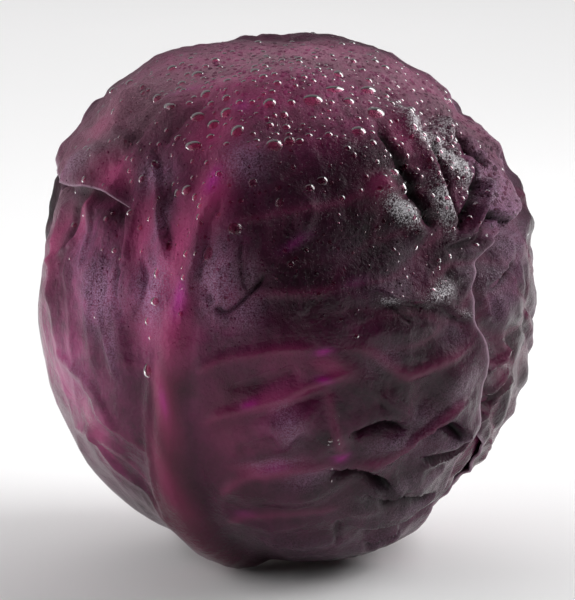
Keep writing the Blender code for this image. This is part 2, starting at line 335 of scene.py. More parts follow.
FOLDS = (
    # upright folds on the left shoulder
    (1.6, 1.6, 3, ((-66, 1), (-66, 10), (-68, 19), (-71, 27))),
    (1.3, 1.2, 2.4, ((-57.2, 29), (-54, 23.5), (-53, 18), (-52, 10))),
    (1.4, 1.2, 1.6, ((-57, 18.5), (-62, 15), (-66, 12.5), (-74, 8))),
    (-1.3, 2.2, 1.6, ((-63.5, 27), (-61.5, 21), (-59.5, 14))),
    (1.4, 1.6, 3, ((-50, 43), (-50, 40), (-53, 37), (-56, 33.5))),
    (1.4, 1.4, 2.6, ((-74, 44), (-65, 50), (-54, 56))),
    (-1.3, 1.4, 1.4, ((-60, 41), (-54, 48), (-46, 54))),
    (1.3, 1.2, 2.2, ((-46, 39), (-43, 46), (-38, 53))),
    (-1.2, 1.1, 1.1, ((-37, 41), (-34, 48), (-28, 54))),
    (-1.6, 0.8, 0.8, ((-34, 40), (-32.6, 37), (-31.2, 34))),
    (-1.6, 0.7, 0.9, ((-31.2, 33.6), (-30.6, 32), (-28.8, 29))),
    (-1.3, 0.9, 0.9, ((-40.4, 15), (-41, 11), (-40.6, 6), (-38.4, 3.5))),
    (-0.9, 0.8, 0.9, ((-34.6, 17), (-33, 12.5), (-33.2, 8), (-36, 4))),
    # ridges on the lower left, from the rib out and up
    (1.3, 1.2, 3.2, ((-66, -7), (-57, -9.8), (-50.5, -13.5), (-46.7, -18.6), (-44, -24))),
    (1.3, 1.2, 3.2, ((-70, -26), (-57.7, -25.8), (-51, -26.8), (-43, -29))),
    (1.1, 1.2, 2.6, ((-58, -24), (-55, -30), (-51, -35.5), (-43, -40), (-39.5, -50))),
    (1.2, 0.8, 2, ((-46, 5), (-44, 0), (-42, -5), (-41, -11))),
    (0.7, 1, 1.6, ((-39.6, 4), (-38.4, -3), (-36.8, -10))),
    (0.8, 1.4, 1.4, ((-31, 5), (-31.5, -6), (-33.4, -18), (-35.5, -28), (-38, -40), (-40, -52))),
    # to the right of the rib
    (-2, 0.9, 0.9, ((-19.5, 12.6), (-15.9, 8.8), (-13.1, 6.7), (-10.3, 9), (-7.1, 12.3), (-3.9, 16.6))),
    (-1.5, 0.9, 0.9, ((-11.4, 23), (-10.8, 20), (-10.2, 14), (-8.6, 10))),
    (1.4, 0.9, 0.9, ((3.6, 31.5), (5.8, 29.4), (5.9, 27), (4, 24.6))),
    (0.9, 0.8, 0.8, ((1.6, 12.5), (3.3, 10), (3.5, 8), (2.4, 6.2))),
    (-1.6, 3.5, 2.4, ((1, -21), (4, -22.5), (8, -24))),
    (1.5, 3, 3.6, ((-5, -16), (-3, -20), (-1, -25))),
    (-1.4, 3, 3, ((-14, -10), (-6, -8), (4, -5.5))),
    (-1.4, 3, 2.6, ((-12, -24), (-6, -22), (-2, -21))),
    # lower right
    (1.3, 1.4, 2.4, ((17, -45), (26.6, -47.4), (35, -48.8), (45, -47.8))),
    (1, 1.2, 2, ((15, -41), (23, -42.8), (30, -43.2), (37, -42))),
    (-1.6, 0.9, 0.9, ((15, -44.5), (16, -49), (18.2, -54))),
    # upper right: frosted ridges and the valleys between them
    (2.4, 3.2, 2.6, ((40, 53), (40.8, 45), (41.5, 38), (42.2, 33), (42.6, 27), (45.4, 21))),
    (2.4, 2.6, 3, ((59, 49), (57.3, 46), (54.1, 40.5), (52.2, 35.4), (51.6, 30))),
    (2.6, 3.6, 2.2, ((22, 35), (25, 32.4), (28.2, 28.9), (31.1, 24.3), (33.5, 20))),
    (-3, 1.8, 1.6, ((28.5, 50), (30, 42), (32.5, 37), (33.6, 32), (35, 27), (38, 22))),
    (-2.8, 1.2, 1.2, ((47.4, 45), (45.8, 38), (45, 34), (44.4, 27.5), (46.5, 23))),
    (-3.6, 1, 1.2, ((60, 37.5), (57.4, 32), (51, 28), (46.3, 24), (44, 21.5))),
    (2.4, 1.3, 1.5, ((64, 33), (56, 28), (50.8, 23.8), (47.5, 20.2))),
    (-2.2, 0.8, 0.8, ((66, 33), (63.3, 30.6), (54.8, 25.2), (50.7, 21.3), (48.3, 20), (43.7, 19.4),
        (38, 18.6))),
    (-2, 0.8, 0.8, ((53.5, 25), (58.8, 24.3), (62.8, 22.6), (67.8, 21.1))),
    (-4, 1, 1.3, ((62.2, 45), (62.2, 40.5), (63.4, 37), (66.6, 34.2))),
    (1.6, 2, 2.2, ((66.5, 43), (66.8, 39), (68.5, 36))),
    (-1.4, 0.9, 0.9, ((75, 42), (77, 38), (78, 34))),
    (-1.3, 0.8, 0.8, ((60.4, 50.5), (60.4, 48.2), (59.4, 45.6))),
    (-1.2, 0.7, 0.7, ((61.6, 23), (62.8, 18.6), (64, 15))),
    (1.2, 1.2, 1.2, ((20, 12), (23, 9), (26, 7), (29, 6.5))),
    (-1.8, 2.6, 2.6, ((38, 14), (41, 11), (44, 9))),
)  # fmt: skip
# Sharp folds: the blade swells up to the curve and starts again lower beyond it. Rise and width of the
# high side, on the left of someone who walks along it, then drop and width of the low side, then places.
STEPS = (
    (2.4, 6, 4.8, 2.8, ((32, -24), (35, -21.4), (38.8, -19.9), (42.6, -21), (46.4, -23.4), (49, -27))),
    (2.2, 6, 4.4, 2.8, ((13, -21), (17, -19), (21.4, -18), (25, -18.6), (30, -20.6))),
    (2.2, 5, 5.4, 3, ((9, -30.4), (15.5, -29.8), (20.5, -30.8), (25, -33), (32, -37.5))),
    (2.8, 4.5, 6.4, 4.2, ((26, -40.8), (34, -39.4), (41, -40), (52, -43))),
    (1.8, 1.8, 2.4, 2.6, ((52, -26), (47.6, -30), (43, -31.4), (39.6, -31.6), (34, -30.4))),
    (1, 3, 1.2, 1.3, ((18.5, -11), (23.9, -15.2), (26.6, -17), (30.5, -20))),
    (1.6, 3, 3, 2.4, ((21, -37.6), (26, -39), (29, -38.8), (34, -36))),
    (2.2, 3, 4.8, 4, ((30, -56), (37, -54.6), (46, -53.6))),
    (0.9, 3, 0.8, 2, ((50, -15.5), (42.7, -16.4), (38.4, -19), (31.3, -22.6), (28, -26.6), (22.5, -28.6),
        (15, -29))),
    # upper right: the pillar's foot, the arch beside it, and the frosted fold below
    (1.2, 2.4, 2.4, 2.4, ((35, 18.4), (43.7, 19.2), (48.3, 19.8), (50.9, 21.3), (54.8, 25), (63.3, 30.4),
        (66, 33))),
    (1.4, 3, 2, 2.6, ((53.5, 25.2), (58.8, 24.4), (62.8, 22.7), (68.5, 20.8))),
    (1.4, 3, 1.6, 2.6, ((20, 11), (24, 8.6), (30, 7.8), (36, 6.8), (40, 4.4), (46, 1.6))),
    (1.2, 1.6, 1.2, 1.2, ((20.5, 9.5), (24, 8), (27, 5), (28.5, 3.6))),
    # left: the fold that comes down from the torn lobe, and the rib's right flank
    (1.5, 2.6, 1.4, 2.4, ((-27, 15), (-29.1, 21.2), (-31.4, 25.4), (-32.6, 30), (-36.2, 36.2), (-43, 42.8))),
    (1.2, 2, 1.6, 3, ((-42.6, 28), (-41.4, 24), (-40.6, 20), (-40.4, 14))),
    (1.5, 2.8, 1.5, 1.8, ((-21.5, 8), (-20.4, 15), (-19.6, 21.8), (-19.7, 25.7), (-17.7, 29), (-16.5, 32))),
)  # fmt: skip
# Folds of the right leaf where it shows beside the front leaf.
RIGHT_FOLDS = (
    (2, 1.6, 1.2, ((49, -11), (54, -10.5), (59, -8.5), (62, -5))),
    (1.8, 1.4, 1.2, ((49, -17), (55, -17), (60, -15), (64, -11))),
    (-2, 1.4, 1.2, ((58, -3), (63, -7), (66, -11))),
    (1.6, 1.6, 1.4, ((53, -26), (58, -22), (63, -17), (67, -10))),
    (-1.6, 2, 2, ((54, -20), (59, -19), (63, -16))),
    (2.2, 3, 0.8, ((49, 10), (54, 10.5), (58, 12), (62, 13), (65, 10))),
    (-2.6, 1, 1.6, ((50, 8), (55, 9), (60, 11), (63, 12), (66, 9))),
    (1.8, 1.2, 1.2, ((60, 11), (62, 9), (63, 6))),
    (2, 1.2, 2, ((49, 12), (50.5, 7), (51.5, 3), (51, 0))),
    (1.2, 2, 2, ((57, 22), (60, 20), (62, 17), (65, 14))),
    (-1, 1, 1, ((58, 21), (61, 17), (63, 14))),
    (1.5, 3, 3, ((66, 18), (72, 10), (75, 0))),
    (-1.4, 2, 2, ((69, 14), (72, 4), (74, -6))),
)  # fmt: skip
# The torn lobe of the front leaf that laps over what is below it: how far its edge stands off, the line
# where it leaves the leaf, and its free edge.
LOBE_LIFT = 3.4
LOBE_ROOT = ((-96, 50), (-86, 48), (-76, 45), (-66, 43), (-58, 41), (-48, 38), (-38.5, 31))
LOBE_EDGE = (
    (-96, 38), (-87, 32), (-77, 30), (-70, 28.6), (-61.6, 28.6), (-53, 29.6), (-47.7, 29), (-40, 26.8),
)  # fmt: skip
# Swellings and hollows of the blade: azimuth, elevation, half-width, half-height, height, lean.
BULGES = (
    (41, -10.5, 4.6, 7, 2.6, 60), (33.5, -13.8, 3, 4.5, -2.4, 50), (36, -1.5, 3, 6, -1.4, 80),
    (44.5, -27, 3, 6, 2.4, 80), (25, -24.5, 3, 7, 2, 80), (10, -22, 5, 4, 2.4), (0, -18.5, 4, 5, 3.2, -20),
    (-10, -22, 3.5, 5, 1.8, 60), (4, -12, 2.6, 6, -2, 70), (42, -36, 2.6, 8, 2.4, 78),
    (42, -46, 2.6, 9, 2.6, 82), (30, -35.5, 2.4, 7, 2.2, 78), (38, -58, 3, 9, 2, 80),
    (46, -51, 1.6, 8, -2.8, 84), (18, -44, 3, 7, 1.2, 85), (6, -36, 3.5, 8, 2.8, 85),
    (-6, -35, 4, 7, 2.4, 80), (-4, -46, 3, 9, 2.4, 85), (4, -53, 3, 9, 1.6, 85), (14, -36, 1.8, 6, -1.4, 70),
    # the middle: broad and shallow
    (-13, 38, 6, 12, 1.6), (-14, 14, 6, 9, 1.4, -6), (-6, 22, 3, 14, -1.6, -8), (8, 30, 9, 7, 1, 30),
    (4, 26, 1.3, 4, 1.5, 8), (10, 12, 5, 9, 1, 60), (17, 22, 5, 8, -1.6, 60), (22, 40, 7, 7, 1.6),
    (28, 16, 4, 7, -1.6, 70), (33, 10, 3, 8, 1.6, 78), (8, 50, 4, 12, -1.2, 85), (-4, 62, 5, 14, 1.4, 80),
    # the left shoulder
    (-82, 21, 6, 8, -2.4), (-62, 36, 5, 8, 2.2, 40), (-48, 42, 4, 9, -1.6, 30), (-42, 50, 6, 8, 1.6, 30),
    (-58, 50, 7, 7, 1.4, 30), (-50, 33, 5, 4, -1), (-60, 22, 4, 9, -2.2, 90), (-48, 10, 6, 11, 1.6, -8),
    (-36.6, 10, 2.6, 4.6, 1.8, 6), (-28, 8, 2.4, 8, 0.9), (-60, -8, 8, 6, 1.2, 30),
    (-52, -22, 4, 9, 1.4, 55), (-45, -32, 4, 9, -1, 60), (-40, -20, 5, 10, 0.8, 10),
)  # fmt: skip
# Patches of each mark that colours the front leaf: azimuth, elevation, half-width, half-height,
# strength, lean.
PATCHES = {
    "bloom": (  # wax as a violet-grey veil, and painted highlights on the lit left side and on lit crests
        (-62.5, 35, 3.2, 7.5, 0.9, 40), (-36, 35, 4, 3.6, 0.65), (-11.5, 39, 4.6, 4.2, 0.7),
        (-53, 15, 4, 8, 0.6, -14), (-46, 8, 6.5, 8, 0.95, -10), (-31, 10, 4.6, 8.5, 1),
        (-31.5, 24, 2, 6, 0.6, 8), (-15, 13.5, 4.8, 8, 1, -8), (-9.5, 8, 4.2, 4.6, 0.8, 20),
        (-8, 15, 1.6, 4, 0.6), (-42, -3, 2, 6, 0.6, -6), (-60, -12, 9, 8, 0.5), (66, 24, 6, 9, 0.8),
        (0.5, -18, 2.6, 5, 0.75, -20), (-3, -27.8, 1.4, 6, 0.6, 84), (6, -31, 2, 5, 0.5, 80),
        (43, -12, 3.4, 5.5, 0.6, 60), (44.5, -26.5, 2.2, 5, 0.6, 80), (26, -24, 2, 6, 0.5, 80),
        (42, -36, 1.6, 7, 0.6, 78), (41, -45.5, 1.6, 8, 0.65, 82), (30, -35.5, 1.6, 6, 0.5, 78),
        (22, -4, 3, 5, 0.3, 70), (40, 0, 4, 4, 0.3), (38, -57, 2, 8, 0.5, 82), (10, -54, 2, 8, 0.4, 86),
        (55.5, 27, 1.5, 7, 0.6, 50), (63, 28, 8, 10, 1), (28, 17, 8, 4, 0.35, 60), (45, 14, 4, 5, 0.4),
        (33, -18.5, 3, 5, 0.45, 70), (14, 20, 3, 6, 0.2, 70), (24, 12, 3, 7, 0.35, 80), (66, 36, 4, 6, 0.5),
        (36, -24, 12, 8, 0.25), (20, -58, 20, 7, 0.3), (32, -44, 14, 7, 0.22),
    ),
    "frost": (  # wax rubbed up into white crystals on the folds, partly painted glints, and one painted highlight on a lip
        (43.5, 46, 4, 8, 1, -10), (50.5, 37, 3.6, 9, 1, -12), (54, 45, 5, 6, 0.7, -20),
        (28.5, 27.5, 2.8, 6, 1, -42), (41, 28.5, 3, 8, 0.9, -4), (27, 37, 2.6, 5, 0.4, -30),
        (61.5, 30, 3.5, 5, 0.6, -20), (36, 9.5, 3.2, 7, 0.75, 75), (22.5, 8.5, 1.2, 3, 0.7, 100),
        (18, 43.5, 4, 4, 0.4), (43, 4, 1.2, 3.6, 0.6, 110), (43, -32.2, 3.6, 0.45, 1.1, -13),
        (24, 38, 10, 4, 0.25),
    ),
    "flush": (  # pink where the blade is thin or young, partly painted glow and highlight where light catches the left side and the rib's left flank
        (-17, 56, 14, 6, 0.35), (-22, 46, 6, 8, 0.55), (-19, 32, 4, 9, 0.9, 6), (-26, 18, 3, 12, 1, 8),
        (-30, 2, 6, 5, 0.6), (-36, 22, 3, 8, 0.65), (-50, 34, 5, 4, 0.7), (-57, 23, 2, 6, 0.7),
        (-66, 16, 2.4, 7, 0.7), (-28, -14, 2.2, 9, 0.9, -6), (-25, 3, 3.6, 8, 1),
        (-31, -34, 2.2, 11, 0.6, -8), (-62, -12, 6, 5, 0.4, 30), (-55, -22, 7, 3, 0.45, 60),
        (9, -5, 2.2, 5, 0.45, 110), (-14, -20, 7, 14, 0.18), (0, -4, 8, 5, 0.2), (-2, -12, 2, 8, 0.45, 75),
        (-5, -29, 2, 8, 0.45, 85), (24, 33, 3, 3, 0.5), (-64, 42, 5, 6, 0.5, 40), (36, 45, 3, 5, 0.4),
    ),
    "deep": (  # nearly black: partly the blade's darker tone, partly painted shade in recesses, under the torn lobe and where the blade faces away from the lights
        (2, 16, 16, 17, 0.85), (22, 24, 16, 16, 1), (26, 34, 10, 10, 1), (18, 26, 8, 8, 1),
        (40, 16, 12, 6, 0.9), (4, 34, 14, 9, 0.5), (33, 38, 3.4, 12, 1, -4), (33, -10, 24, 16, 0.75),
        (34, -40, 26, 18, 0.75), (0, 48, 8, 6, 0.5), (10, -60, 26, 12, 0.65), (-14, -34, 7, 22, 0.5, -6),
        (46, 8, 14, 8, 0.6), (-44, 25.5, 8, 2.4, 0.9), (-62, 25, 9, 3, 0.85), (-62, 42, 18, 11, 1, 30),
        (-74, 26, 8, 10, 0.6), (-80, 6, 6, 10, 0.5), (-64, 14, 5, 12, 0.5), (-34, 30, 4, 8, 0.45, 10),
        (8, -21, 3, 3, 0.9), (6, -24, 12, 12, 0.4), (12, -14, 4, 2, 0.8), (-9, -10, 5, 2, 0.6, -20),
        (-8, -27, 6, 1.6, 0.5, -10), (-46, 50, 14, 9, 0.9, 30), (-34, -44, 10, 16, 0.6),
    ),
    "ripe": (  # lighter purple: partly the blade's own tone, partly painted light on the left side and the crown, which face the lights
        (-64, -12, 16, 16, 1, 10), (-74, 8, 12, 18, 0.75), (-14, 12, 7, 9, 0.7), (-50, 12, 14, 16, 0.6),
        (-25, 2, 4, 9, 0.9), (-56, 34, 8, 8, 0.35, 30), (-50, -24, 9, 12, 0.6, 40), (-28, 10, 10, 16, 0.8),
        (0, -16, 12, 8, 0.35, 70), (-6, -22, 8, 4, 0.4), (-10, 60, 34, 14, 0.85), (10, 78, 60, 10, 0.8),
        (50, 64, 18, 9, 0.5), (74, 26, 7, 14, 0.15),
    ),
    # magenta on the veins, partly painted glints where light catches them
    "magenta": (
        (-19, 34.5, 1.2, 2.6, 1, 12), (-23.9, 9, 1.5, 3.4, 1, 4), (-27.8, -13.5, 0.9, 3, 0.5, -6),
        (-8.3, -13.2, 0.7, 1.8, 0.6, 70), (-2.6, -28.4, 0.6, 2.2, 0.5, 82), (7.6, -1.6, 0.7, 1.7, 1, 82),
        (7.8, -7.8, 0.7, 1.8, 0.7, 100), (12.8, -26.4, 0.8, 1.8, 0.9, 80), (-12.6, -42.6, 0.8, 2.4, 0.2, 80),
        (-15.6, 52.8, 1.4, 1.4, 0.5), (2, 22, 1, 3.6, 0.25, 60), (15.4, 13.1, 1, 3, 0.15, 75),
        (-41, 56, 0.6, 3.6, 0.6, 45),
    ),
    "haze": (  # a film of fine mist, and painted pale sheen, most on the crown and the right flank
        (4, 74, 60, 14, 1), (24, 54, 16, 5, 0.5), (56, 60, 16, 10, 0.8), (67, 30, 6, 11, 0.8),
        (-8, 46, 8, 5, 0.2),
    ),
    "wet": (  # mist gathered into beads
        (6, 20, 28, 20, 0.7), (42, 36, 20, 20, 1), (34, 8, 16, 10, 0.8), (-44, 36, 22, 16, 0.45),
        (-40, 12, 26, 14, 0.4), (-12, 10, 12, 12, 0.6),
    ),
}  # fmt: skip


def front_rib(rays):
    """The front leaf's rib: its height, and 1 on its crest falling to 0 beside it."""
    distance, along = from_curve(rays, rounded(RIB))
    stations = np.linspace(0, 1, len(RIB))
    half = np.interp(along, stations, RIB_HALF_WIDTHS)
    crest = np.exp(-np.abs(distance / (half * np.where(distance < 0, 1.15, 0.8))) ** 2.6)
    beside = np.exp(-(((distance - half * 1.35) / (half * 0.5)) ** 2))
    return np.interp(along, stations, RIB_HEIGHTS) * (crest - 0.22 * beside), crest


def front_relief(rays, form):
    """Millimetres that the front leaf's lines and bulges add, then its rib, its veins and its hollows.

    The form is whole, ungrooved (without the groove under the torn lobe), or unfolded as well.
    """
    relief, rib = front_rib(rays)
    veins = np.zeros(len(rays))
    for vein in VEINS:
        rise = line(rays, ridge, *vein, ends=0.2)
        relief += rise
        veins = np.maximum(veins, rise / vein[0] * min(1, vein[0]))
    rises = []
    if form != "unfolded":
        rises += [line(rays, ridge, *fold, ends=0.15) for fold in FOLDS]
        rises += [line(rays, ledge, *fold, ends=0.2) for fold in STEPS]
    if form == "whole":
        rises.append(line(rays, ridge, -0.9 * LOBE_LIFT, 3, 4, LOBE_EDGE, ends=0.1))
    relief += sum(rises) + sum(swell(rays, *bulge) for bulge in BULGES)
    return relief, rib, veins, sum(np.maximum(-rise, 0) for rise in rises)


# ---- relief of any leaf


def puckers(leaf, rays):
    """The puffed blade between the finer veins, 0 in the creases to 1 on the tops, coarse and fine."""
    x, y = leaf.lengths(rays)
    across = np.abs(x) + 2.2 * leaf.field(rays, 34, 11)
    rise = y - 0.45 * np.abs(x) + 2.6 * leaf.field(rays, 40, 0)
    coarse = smooth(0, 0.75, cells(across / 19 + 3, rise / 10, leaf.seed))
    fine = smooth(0, 0.6, cells(across / 8 + 7, rise / 5, leaf.seed + 5))
    return coarse, fine


def wrinkles(leaf, rays):
    """Fine crinkles of the blade with sharp crests, drawn out upwards: about -0.5 to 0.8."""
    stretched = rays * (1, 1, 0.6)
    crests = 0.7 - np.abs(leaf.field(stretched, 17, 20))
    small = 0.7 - np.abs(leaf.field(stretched, 8.5, 21))
    return np.clip(crests, -0.6, 1) + 0.4 * np.clip(small, -0.6, 1)


def upright_folds(rays, azimuth, elevation):
    """Long shallow folds beside the front leaf's rib, on its left, that run up with the rib."""
    drift = azimuth + 3 * waves(rays, 70, 61) + 0.05 * (elevation - 10)
    share = smooth(-88, -66, azimuth) * smooth(-22, -34, azimuth)
    share = share * smooth(-16, 2, elevation) * smooth(44, 28, elevation)
    return share * (1 - 2 * np.abs(np.sin(np.pi * drift / 9.5)))


def side_veins(leaf, rays):
    """Side veins that leave the rib in turn and rise towards the margin, 0 to 1 on their crests."""
    gap = 17
    x, y = leaf.lengths(rays)
    rise = y - 0.42 * np.abs(x) - 0.002 * x**2 + 3.2 * leaf.field(rays, 64, 1)
    phase = rise / gap + np.where(x > 0, 0, 0.5)
    distance = (phase - np.round(phase)) * gap * DEGREE * 0.9
    width = 2.2 - 1.2 * smooth(0, 70, np.abs(x))
    shown = 0.35 + 0.65 * smooth(-0.8, 1.0, leaf.field(rays, 40, 14))
    return np.exp(-((distance / width) ** 2)) * smooth(72, 40, np.abs(x)) * shown


def plain_rib(leaf, rays):
    """A hidden leaf's rib, wide and high at the stem: its height, and 1 on its crest."""
    x, y = leaf.lengths(rays)
    share = smooth(-88, 60, y)
    crest = np.exp(-np.abs(x * DEGREE / (9 - 7.2 * share)) ** 2.4)
    return (5 - 4.2 * share) * crest, crest


def front_marks(rays, azimuth, elevation):
    marks = {
        name: np.max([swell(rays, *patch) for patch in patches], axis=0)
        for name, patches in PATCHES.items()
    }
    marks["wet"] = np.maximum(smooth(30, 52, elevation + 0.35 * azimuth), marks["wet"])
    return marks


def plain_marks(leaf, rays, elevation, veins):
    def scattered(length, shift, start, end):
        return smooth(start, end, leaf.field(rays, length, shift))

    upper = smooth(-25, 0, elevation)
    shaded = 1 - swell(rays, 68, -12, 18, 20, 0.9)
    return {
        "bloom": 0.7 * scattered(44, 6, -0.2, 1.8) * upper * shaded,
        "frost": 0.35 * scattered(30, 7, 0.2, 2) * upper * shaded,
        "flush": (0.5 * scattered(46, 8, 0.4, 1.5) + 0.1 * veins) * shaded,
        "magenta": 0.6 * veins * scattered(30, 9, 0.9, 1.8),
        "deep": 0.45 + 0.3 * leaf.field(rays, 60, 10),
        "wet": smooth(20, 50, elevation),
        "haze": 0.8 * smooth(40, 65, elevation),
        "ripe": 0.35 * scattered(50, 12, -0.5, 1.5),
    }


def surface(leaf, rays, form="whole"):
    """Millimetres from the head's centre to a leaf's outer face, and the marks that colour it."""
    coarse, fine = puckers(leaf, rays)
    margin = leaf.inside(rays)
    azimuth, elevation = azimuth_elevation(rays)
    if leaf is FRONT:
        relief, rib, veins, hollow = front_relief(rays, form)
        relief += 0.6 * upright_folds(rays, azimuth, elevation)
        # puckered most on the right, and on the far left; crinkled most on the shoulder and the corner
        crumple = smooth(10, 34, azimuth + 0.25 * (10 - elevation)) * smooth(100, 60, azimuth)
        crumple = (0.2 + 0.8 * crumple) * (0.25 + 0.75 * smooth(-10, 14, elevation))
        crumple += 0.3 * smooth(-80, -100, azimuth)
        shoulder = swell(rays, -62, 42, 24, 18, 1.0)
        corner = swell(rays, 60, 30, 24, 26, 0.9)
        sleek = 1 - 0.5 * smooth(-26, -34, azimuth) * smooth(20, 0, elevation)
        crinkled = np.maximum(0.45, np.maximum(shoulder, corner)) * sleek
        marks = front_marks(rays, azimuth, elevation)
    else:
        relief, rib = plain_rib(leaf, rays)
        veins = side_veins(leaf, rays)
        relief += 0.9 * veins
        hollow = np.zeros(len(rays))
        for fold in RIGHT_FOLDS if leaf is RIGHT else ():
            rise = line(rays, ridge, *fold, ends=0.3)
            relief += rise
            hollow += np.maximum(-rise, 0)
        crumple, crinkled = 0.8, 0.6
        marks = plain_marks(leaf, rays, elevation, veins)
    relief += crumple * (1.9 * (coarse - 0.6) + 0.35 * (fine - 0.6))
    relief += 1.1 * crinkled * wrinkles(leaf, rays)
    relief += 0.6 * leaf.field(rays, 52, 2) + 0.3 * leaf.field(rays, 21, 3)
    curled = np.exp(-np.clip(margin, 0, 90) / 7)
    relief += curled * (0.9 + 0.9 * leaf.field(rays, 26, 4))
    relief *= np.clip(1 - buried(leaf, rays, 3), 0, 1)
    radius = outer_form(rays) - LAYER * buried(leaf, rays, 14) + relief
    if leaf is not FRONT:
        radius -= FOLD_ROOM * smooth(2, 20, FRONT.inside(rays))
    if leaf is RIGHT:
        # painted shade on the right leaf's lower flank, and a pale wax patch above, partly painted sheen
        marks["deep"] = np.maximum(marks["deep"], swell(rays, 69, -10, 16, 18, 1.0))
        marks["bloom"] = np.maximum(marks["bloom"], swell(rays, 64, 18, 8, 8, 0.9))
    if leaf.number == 3:
        # smoother and fuller where it shows behind the front leaf on the left, and darker there with painted
        # shadow along that leaf's edge
        calm = swell(rays, -97, 19, 20, 15, 0.8)
        radius += swell(rays, -94, 20, 12, 12, 1.6) - calm * relief
        # painted shadow cast by the front leaf's edge, dark and in the crease shade
        dim = swell(rays, -91, 19, 12, 14, 1.0)
        for name in ("bloom", "frost", "ripe"):
            marks[name] = marks[name] * (1 - dim)
        marks["deep"] = np.maximum(marks["deep"], dim)
        hollow += 4 * dim
    for name in ("flush", "magenta", "deep"):
        marks[name] = np.clip(marks[name], 0, 1)
    marks["rib"] = rib * (0.35 + 0.65 * smooth(5, -12, elevation))
    marks["vein"] = np.clip(np.maximum(veins, 0.7 * crumple * np.exp(-coarse / 0.12)), 0, 1)
    # painted shade: the blade darkens to black in fold grooves and in the creases between puckers
    hollow = hollow * (0.6 + 0.4 * smooth(-25, 5, azimuth)) + 1.2 * crumple * np.exp(-coarse / 0.15)
    marks["sunk"] = smooth(0.5, 3.2, hollow)
    marks["margin"] = np.exp(-np.clip(margin, 0, 90) / 0.8)
    return radius, marks


# ---- meshes


def finished(name, bm):
    """Turns a bmesh into a mesh."""
    mesh = bpy.data.meshes.new(name)
    bm.to_mesh(mesh)
    bm.free()
    return mesh


def placed(name, data):
    """Puts a mesh, light or camera in the scene."""
    made = bpy.data.objects.new(name, data)
    bpy.context.scene.collection.objects.link(made)
    return made


def piece(mesh, material, thickness=0):
    """A piece that rides on the root, with a wall under its outer face where it is a sheet."""
    mesh.materials.append(material)
    mesh.shade_smooth()
    made = placed(mesh.name, mesh)
    if thickness:
        wall = made.modifiers.new("leaf thickness", "SOLIDIFY")
        wall.thickness = thickness * MM
        wall.offset = -1
    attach(made, "root")
    return made


def flat_sheet(name, columns, rows):
    """A flat square grid 2 across, and its points' places along each side from -1 to 1."""
    bm = bmesh.new()
    bmesh.ops.create_grid(bm, x_segments=columns, y_segments=rows, size=1)
    mesh = finished(name, bm)
    square = np.zeros(len(mesh.vertices) * 3)
    mesh.vertices.foreach_get("co", square)
    x, y, _ = square.reshape(-1, 3).T
    return mesh, x, y


def lay_out(mesh, points, marks):
    """Moves a sheet's points to their places in millimetres and keeps its marks for the material."""
    mesh.vertices.foreach_set("co", (points * MM).ravel())
    for name, values in marks.items():
        mesh.attributes.new(name, "FLOAT", "POINT").data.foreach_set("value", values)
    mesh.update()
    return mesh


def stand_clear(points):
    """Keeps what grows from the stem outside its skin and off the table."""
    stem_low, stem_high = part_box("cut_stem")
    radius = (stem_high.x - stem_low.x) / 2 / MM + 0.6
    reach = np.hypot(points[:, 0], points[:, 1])
    low = points[:, 2] < stem_high.z / MM + 3
    push = np.where(low, np.maximum(radius, reach) / np.maximum(reach, 1e-9), 1)
    points = points * np.stack([push, push, np.ones_like(push)], axis=1)
    points[:, 2] = np.maximum(points[:, 2], 0.6)
    return points


def leaf_sheet(leaf, count):
    """A square grid drawn out to the leaf's outline and laid on the head."""
    mesh, x, y = flat_sheet(f"wrapper_leaf_{leaf.number}_skin", count, count)
    disc_x = x * np.sqrt(1 - y**2 / 2)
    disc_y = y * np.sqrt(1 - x**2 / 2)
    bearing = np.arctan2(disc_x, disc_y)
    rays = leaf.rays(np.hypot(disc_x, disc_y) * leaf.outline(bearing), bearing)
    radius, marks = surface(leaf, rays)
    return lay_out(mesh, stand_clear(rays * radius[:, None] + CENTRE), marks)


def torn_lobe_sheet(columns, rows):
    """A strip of the front leaf that rises from its root line to a free, slightly curled edge."""
    mesh, x, y = flat_sheet("wrapper_leaf_1_torn_lobe", columns, rows)
    along, out = (1 + x) / 2, (1 - y) / 2
    rays = np.zeros((len(along), 3))
    for points, share in ((LOBE_ROOT, 1 - out), (LOBE_EDGE, out)):
        curve = rounded(points, 12)
        stations = np.linspace(0, 1, len(curve))
        rays += share[:, None] * np.stack([np.interp(along, stations, axis) for axis in curve.T], axis=1)
    rays /= np.linalg.norm(rays, axis=1)[:, None]
    joined, _ = surface(FRONT, rays, "ungrooved")
    radius, marks = surface(FRONT, rays, "unfolded")
    radius = joined + (radius - joined) * smooth(0.05, 0.5, out)
    ends = smooth(0, 0.12, along) * smooth(1, 0.88, along)
    lift = LOBE_LIFT * out**1.7 * ends - 0.5 * (1 - smooth(0, 0.3, out) * ends)
    lift = lift - 0.9 * smooth(0.86, 1, out) * ends + 0.35 * ends * out * waves(rays, 16, 91)
    marks["margin"] = smooth(0.955, 1, out)
    return lay_out(mesh, rays * (radius + lift)[:, None] + CENTRE, marks)


# ---- materials


def linear(hex_colour):
    """An sRGB hex colour as linear RGBA."""
    values = [int(hex_colour[i : i + 2], 16) / 255 for i in (1, 3, 5)]
    return (*[v / 12.92 if v <= 0.04045 else ((v + 0.055) / 1.055) ** 2.4 for v in values], 1)


def connect(node, inputs):
    """Links or sets a node's inputs, given in turn or by name or number. A colour is a hex value."""
    for key, value in inputs.items() if isinstance(inputs, dict) else enumerate(inputs):
        if isinstance(value, bpy.types.NodeSocket):
            node.id_data.links.new(value, node.inputs[key])
        else:
            node.inputs[key].default_value = linear(value) if isinstance(value, str) else value


